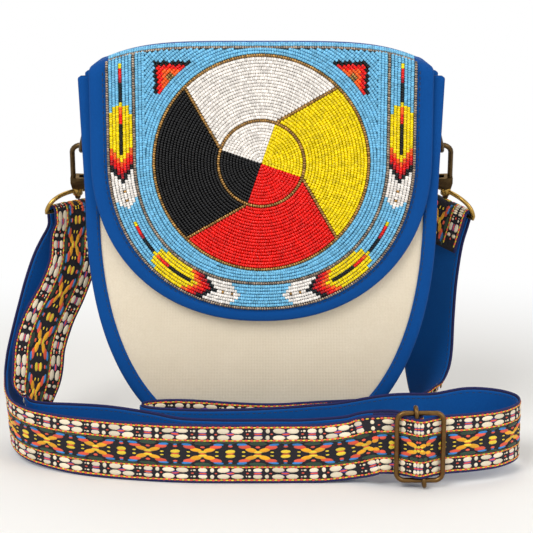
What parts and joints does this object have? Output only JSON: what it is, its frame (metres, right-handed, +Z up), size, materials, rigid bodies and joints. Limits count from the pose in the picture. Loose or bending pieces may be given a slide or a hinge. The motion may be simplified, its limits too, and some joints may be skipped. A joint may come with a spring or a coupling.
{
  "type": "crossbody bag",
  "caption": "Small crossbody bag: canvas body bound in blue, rolled flap with a beaded wheel and feather band, woven strap on swivel hooks with a slider.",
  "frame": {"origin": "middle of the footprint of the bag and its laid-out strap, on the surface it stands on", "axes": "+X runs across the bag to its right as the flap is seen, +Y towards its back, +Z up"},
  "size_m": [0.3344, 0.1362, 0.266],
  "materials": {
    "canvas": "natural woven cotton canvas",
    "blue_cloth": "royal blue woven cloth",
    "cotton_lining": "bright blue cotton",
    "board": "stiff interlining",
    "webbing_cloth": "patterned woven band",
    "brass": "antique brass",
    "steel": "bright plated steel",
    "sky_bead": "opaque light blue seed beads",
    "gold_bead": "metallic bronze seed beads",
    "white_bead": "opaque white seed beads",
    "yellow_bead": "opaque yellow seed beads",
    "red_bead": "opaque red seed beads",
    "black_bead": "opaque black seed beads"
  },
  "bodies": {
    "bag": {"front_panel": "canvas", "back_panel": "canvas", "gusset": "canvas", "front_binding": "blue_cloth", "back_binding": "blue_cloth", "pouch_lining": "cotton_lining", "mouth_binding": "blue_cloth", "snap_socket": "steel", "left_side_tab": "blue_cloth", "right_side_tab": "blue_cloth", "left_strap_eye": "brass", "right_strap_eye": "brass", "strap_webbing": "webbing_cloth", "strap_lining": "cotton_lining", "slider_frame": "brass"},
    "flap": {"flap_lining": "cotton_lining", "flap_stiffener": "board", "flap_face": "blue_cloth", "snap_stud": "steel", "outer_bead_row": "gold_bead", "inner_bead_row": "gold_bead", "band_beads": "sky_bead", "field_beads": "sky_bead", "upper_left_feather": "yellow_bead", "upper_right_feather": "yellow_bead", "lower_left_feather": "yellow_bead", "lower_right_feather": "yellow_bead", "left_triangle": "red_bead", "right_triangle": "red_bead", "wheel_rim_row": "gold_bead", "hub_rim_row": "gold_bead", "yellow_ring_beads": "yellow_bead", "yellow_hub_beads": "yellow_bead", "yellow_divider_row": "gold_bead", "white_ring_beads": "white_bead", "white_hub_beads": "white_bead", "white_divider_row": "gold_bead", "black_ring_beads": "black_bead", "black_hub_beads": "black_bead", "black_divider_row": "gold_bead", "red_ring_beads": "red_bead", "red_hub_beads": "red_bead", "red_divider_row": "gold_bead"},
    "slider_bar": {"slider_bar": "brass"},
    "left_ring": {"left_side_ring": "brass"},
    "left_hook": {"left_hook": "brass", "left_swivel_post": "brass", "left_gate_pin": "steel"},
    "left_gate": {"left_hook_gate": "brass"},
    "right_ring": {"right_side_ring": "brass"},
    "right_hook": {"right_hook": "brass", "right_swivel_post": "brass", "right_gate_pin": "steel"},
    "right_gate": {"right_hook_gate": "brass"}
  },
  "joints": [
    {"name": "flap_hinge", "type": "hinge", "parent": "bag", "child": "flap", "pos_m": [0.00276, 0.05023, 0.2461], "axis": [-1, 0, 0], "range_deg": [0, 190]},
    {"name": "left_ring_swing", "type": "hinge", "parent": "bag", "child": "left_ring", "pos_m": [-0.1062, 0.02743, 0.223], "axis": [0, 1, 0], "range_deg": [-3, 2]},
    {"name": "left_hook_swivel", "type": "hinge", "parent": "bag", "child": "left_hook", "pos_m": [-0.11841, 0.04306, 0.17043], "axis": [0.0523, -0.5143, 0.856], "range_deg": [-4, 25]},
    {"name": "left_gate_pivot", "type": "hinge", "parent": "left_hook", "child": "left_gate", "pos_m": [-0.11069, 0.04007, 0.1754], "axis": [0, -0.8572, -0.515], "range_deg": [0, 24], "stiffness_Nm_per_rad": 0.02, "springref_deg": -11.46},
    {"name": "right_ring_swing", "type": "hinge", "parent": "bag", "child": "right_ring", "pos_m": [0.11171, 0.02743, 0.223], "axis": [0, 1, 0], "range_deg": [-2, 3]},
    {"name": "right_hook_swivel", "type": "hinge", "parent": "bag", "child": "right_hook", "pos_m": [0.12392, 0.04306, 0.17043], "axis": [-0.0523, -0.5143, 0.856], "range_deg": [-25, 4]},
    {"name": "right_gate_pivot", "type": "hinge", "parent": "right_hook", "child": "right_gate", "pos_m": [0.11621, 0.04007, 0.1754], "axis": [0, 0.8572, 0.515], "range_deg": [0, 24], "stiffness_Nm_per_rad": 0.02, "springref_deg": -11.46},
    {"name": "slider_bar_slide", "type": "slide", "parent": "bag", "child": "slider_bar", "axis": [1, 0, 0], "range_m": [-0.0003, 0.0003]}
  ]
}
